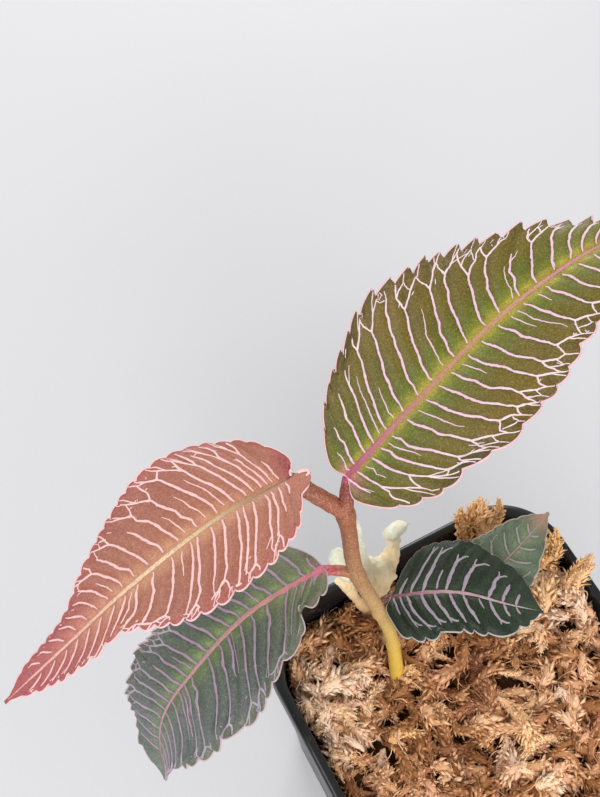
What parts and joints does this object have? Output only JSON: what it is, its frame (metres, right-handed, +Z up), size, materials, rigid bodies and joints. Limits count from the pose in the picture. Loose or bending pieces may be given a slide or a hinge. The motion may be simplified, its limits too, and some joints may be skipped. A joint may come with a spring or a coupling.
{
  "type": "potted labisia",
  "caption": "Young foliage plant with pale-veined pink, olive and grey-green toothed leaves, standing in a small square black pot filled with dried sphagnum moss.",
  "frame": {"origin": "middle of the pot's flat base", "axes": "+Z up, the pot's sides run along X and Y, and the largest leaf reaches towards +X"},
  "size_m": [0.143, 0.1002, 0.1495],
  "materials": {
    "pot_plastic": "satin black moulded plastic",
    "moss_brown": "dry fibrous strands, tan to golden brown",
    "moss_cream": "dry pale cream strands",
    "stem_skin": "smooth fleshy stem, yellow-olive at the foot to speckled reddish brown",
    "leaf_pink": "soft satin blade, coppery pink with pale pink veins",
    "leaf_olive": "soft satin blade, olive brown and green with lilac-pink veins",
    "leaf_grey_green": "quilted satin blade, grey green with lilac veins",
    "leaf_dark_green": "satin blade, very dark green with silvery mauve veins",
    "leaf_dusky_green": "satin blade, dusky green with mauve veins and a pink tip"
  },
  "bodies": {
    "root": {"pot": "pot_plastic", "moss": "moss_brown", "moss_pale_strands": "moss_cream", "stem": "stem_skin", "leaf_upper_left": "leaf_pink", "leaf_upper_right": "leaf_olive", "leaf_lower_left": "leaf_grey_green", "leaf_lower_right": "leaf_dark_green", "leaf_back": "leaf_dusky_green"}
  },
  "joints": []
}
